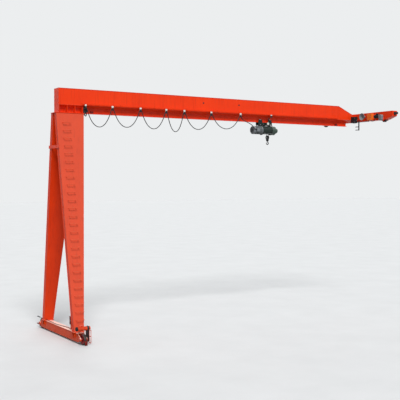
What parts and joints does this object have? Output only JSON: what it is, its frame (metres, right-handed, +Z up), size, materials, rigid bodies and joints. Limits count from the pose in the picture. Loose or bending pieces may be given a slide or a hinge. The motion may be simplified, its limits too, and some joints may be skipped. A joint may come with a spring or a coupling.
{
  "type": "semi-gantry crane",
  "caption": "Semi-gantry crane: box girder on an A-shaped leg pair and a runway carriage, with a wire rope hoist, cable festoon and hook.",
  "frame": {"origin": "middle of the flat underside of the ground beam, between the legs", "axes": "+X along the girder from the legs to the runway, +Y along the crane's travel, +Z up"},
  "size_m": [15.866, 5.76, 9.712],
  "materials": {
    "crane_paint": "glossy vermilion enamel over welded plate",
    "dark_red_paint": "dark red primer paint",
    "gear_paint": "black machinery enamel",
    "hoist_paint": "dark green machinery enamel",
    "motor_paint": "grey machinery enamel",
    "orange_plastic": "orange moulded enclosure",
    "buffer_rubber": "moulded rubber",
    "cable_rubber": "flat rubber sheathed cable",
    "white_plastic": "white moulded plastic",
    "wheel_steel": "turned steel, worn bright on the tread",
    "rope_wire": "greased wire rope",
    "hook_steel": "forged steel",
    "block_paint": "black paint"
  },
  "bodies": {
    "crane": {"girder_box": "crane_paint", "hoist_beam": "crane_paint", "girder_end_plate": "crane_paint", "trolley_stops": "dark_red_paint", "leg_head_plate": "crane_paint", "leg_head_gussets": "crane_paint", "near_leg": "crane_paint", "far_leg": "crane_paint", "leg_tie_plate": "crane_paint", "ladder_rungs": "crane_paint", "rung_posts": "crane_paint", "ground_beam": "crane_paint", "wheel_cheeks": "dark_red_paint", "ground_gearbox": "gear_paint", "ground_motor": "crane_paint", "drive_guard": "crane_paint", "control_box": "dark_red_paint", "control_box_stand": "crane_paint", "limit_switch_arm": "gear_paint", "runway_carriage": "crane_paint", "runway_gearbox": "motor_paint", "runway_motor": "gear_paint", "carriage_buffers": "buffer_rubber", "collector_arm": "gear_paint", "carriage_box": "orange_plastic", "warning_horn": "motor_paint", "junction_box": "gear_paint", "festoon_track": "crane_paint", "track_brackets": "dark_red_paint", "festoon_cable": "cable_rubber", "cable_anchor": "dark_red_paint"},
    "near_ground_wheel": {"near_ground_wheel": "dark_red_paint"},
    "far_ground_wheel": {"far_ground_wheel": "dark_red_paint"},
    "near_runway_wheel": {"near_runway_wheel": "dark_red_paint"},
    "far_runway_wheel": {"far_runway_wheel": "dark_red_paint"},
    "hoist": {"trolley_frame": "hoist_paint", "travel_motor": "hoist_paint", "hoist_motor": "motor_paint", "drum_housing": "hoist_paint", "rope_drum": "wheel_steel", "hoist_gearbox": "hoist_paint", "hoist_panel": "motor_paint", "hoist_ropes": "rope_wire", "tow_trolley": "white_plastic"},
    "cable_trolley_1": {"cable_trolley_1": "white_plastic"},
    "cable_trolley_2": {"cable_trolley_2": "white_plastic"},
    "cable_trolley_3": {"cable_trolley_3": "white_plastic"},
    "cable_trolley_4": {"cable_trolley_4": "white_plastic"},
    "cable_trolley_5": {"cable_trolley_5": "white_plastic"},
    "cable_trolley_6": {"cable_trolley_6": "white_plastic"},
    "wheel_near_left": {"wheel_near_left": "wheel_steel"},
    "wheel_near_right": {"wheel_near_right": "wheel_steel"},
    "wheel_far_left": {"wheel_far_left": "wheel_steel"},
    "wheel_far_right": {"wheel_far_right": "wheel_steel"},
    "hook_block": {"hook_block": "block_paint"},
    "hook": {"hook": "hook_steel"}
  },
  "joints": [
    {"name": "near_ground_wheel_spin", "type": "hinge", "parent": "crane", "child": "near_ground_wheel", "pos_m": [0, -2.08, 0.12], "axis": [1, 0, 0], "continuous": true},
    {"name": "far_ground_wheel_spin", "type": "hinge", "parent": "crane", "child": "far_ground_wheel", "pos_m": [0, 2.08, 0.12], "axis": [1, 0, 0], "continuous": true},
    {"name": "near_runway_wheel_spin", "type": "hinge", "parent": "crane", "child": "near_runway_wheel", "pos_m": [15.35, -2.08, 8.935], "axis": [1, 0, 0], "continuous": true},
    {"name": "far_runway_wheel_spin", "type": "hinge", "parent": "crane", "child": "far_runway_wheel", "pos_m": [15.35, 2.08, 8.935], "axis": [1, 0, 0], "continuous": true},
    {"name": "hoist_travel", "type": "slide", "parent": "crane", "child": "hoist", "axis": [1, 0, 0], "range_m": [-8.15, 3.9], "deforming": ["festoon_cable"]},
    {"name": "hook_lift", "type": "slide", "parent": "hoist", "child": "hook_block", "axis": [0, 0, 1], "range_m": [-7.2, 0], "deforming": ["hoist_ropes"]},
    {"name": "hook_swivel", "type": "hinge", "parent": "hook_block", "child": "hook", "pos_m": [10.0303, 0, 7.85], "axis": [0, 0, 1], "continuous": true},
    {"name": "trolley_1_travel", "type": "slide", "parent": "crane", "child": "cable_trolley_1", "axis": [1, 0, 0], "range_m": [-1.03605, 0.4963]},
    {"name": "trolley_2_travel", "type": "slide", "parent": "cable_trolley_1", "child": "cable_trolley_2", "axis": [1, 0, 0], "range_m": [-1.13385, 0.5431]},
    {"name": "trolley_3_travel", "type": "slide", "parent": "cable_trolley_2", "child": "cable_trolley_3", "axis": [1, 0, 0], "range_m": [-1.0768, 0.5158]},
    {"name": "trolley_4_travel", "type": "slide", "parent": "cable_trolley_3", "child": "cable_trolley_4", "axis": [1, 0, 0], "range_m": [-0.7671, 0.3676]},
    {"name": "trolley_5_travel", "type": "slide", "parent": "cable_trolley_4", "child": "cable_trolley_5", "axis": [1, 0, 0], "range_m": [-1.2072, 0.5782]},
    {"name": "trolley_6_travel", "type": "slide", "parent": "cable_trolley_5", "child": "cable_trolley_6", "axis": [1, 0, 0], "range_m": [-1.4028, 0.6718]},
    {"name": "wheel_near_left_spin", "type": "hinge", "parent": "hoist", "child": "wheel_near_left", "pos_m": [9.56, 0, 8.7513], "axis": [0, 1, 0], "range_deg": [-8491.19, 4063.79]},
    {"name": "wheel_near_right_spin", "type": "hinge", "parent": "hoist", "child": "wheel_near_right", "pos_m": [10.1, 0, 8.7513], "axis": [0, 1, 0], "range_deg": [-8491.19, 4063.79]},
    {"name": "wheel_far_left_spin", "type": "hinge", "parent": "hoist", "child": "wheel_far_left", "pos_m": [9.56, 0, 8.7513], "axis": [0, 1, 0], "range_deg": [-8491.19, 4063.79]},
    {"name": "wheel_far_right_spin", "type": "hinge", "parent": "hoist", "child": "wheel_far_right", "pos_m": [10.1, 0, 8.7513], "axis": [0, 1, 0], "range_deg": [-8491.19, 4063.79]}
  ],
  "couplings": [
    {"joint": "trolley_1_travel", "follows": "hoist_travel", "ratio": 0.127},
    {"joint": "trolley_2_travel", "follows": "hoist_travel", "ratio": 0.139},
    {"joint": "trolley_3_travel", "follows": "hoist_travel", "ratio": 0.132},
    {"joint": "trolley_4_travel", "follows": "hoist_travel", "ratio": 0.094},
    {"joint": "trolley_5_travel", "follows": "hoist_travel", "ratio": 0.148},
    {"joint": "trolley_6_travel", "follows": "hoist_travel", "ratio": 0.172},
    {"joint": "wheel_near_left_spin", "follows": "hoist_travel", "rad_per_m": 18.182},
    {"joint": "wheel_near_right_spin", "follows": "hoist_travel", "rad_per_m": 18.182},
    {"joint": "wheel_far_left_spin", "follows": "hoist_travel", "rad_per_m": 18.182},
    {"joint": "wheel_far_right_spin", "follows": "hoist_travel", "rad_per_m": 18.182}
  ]
}
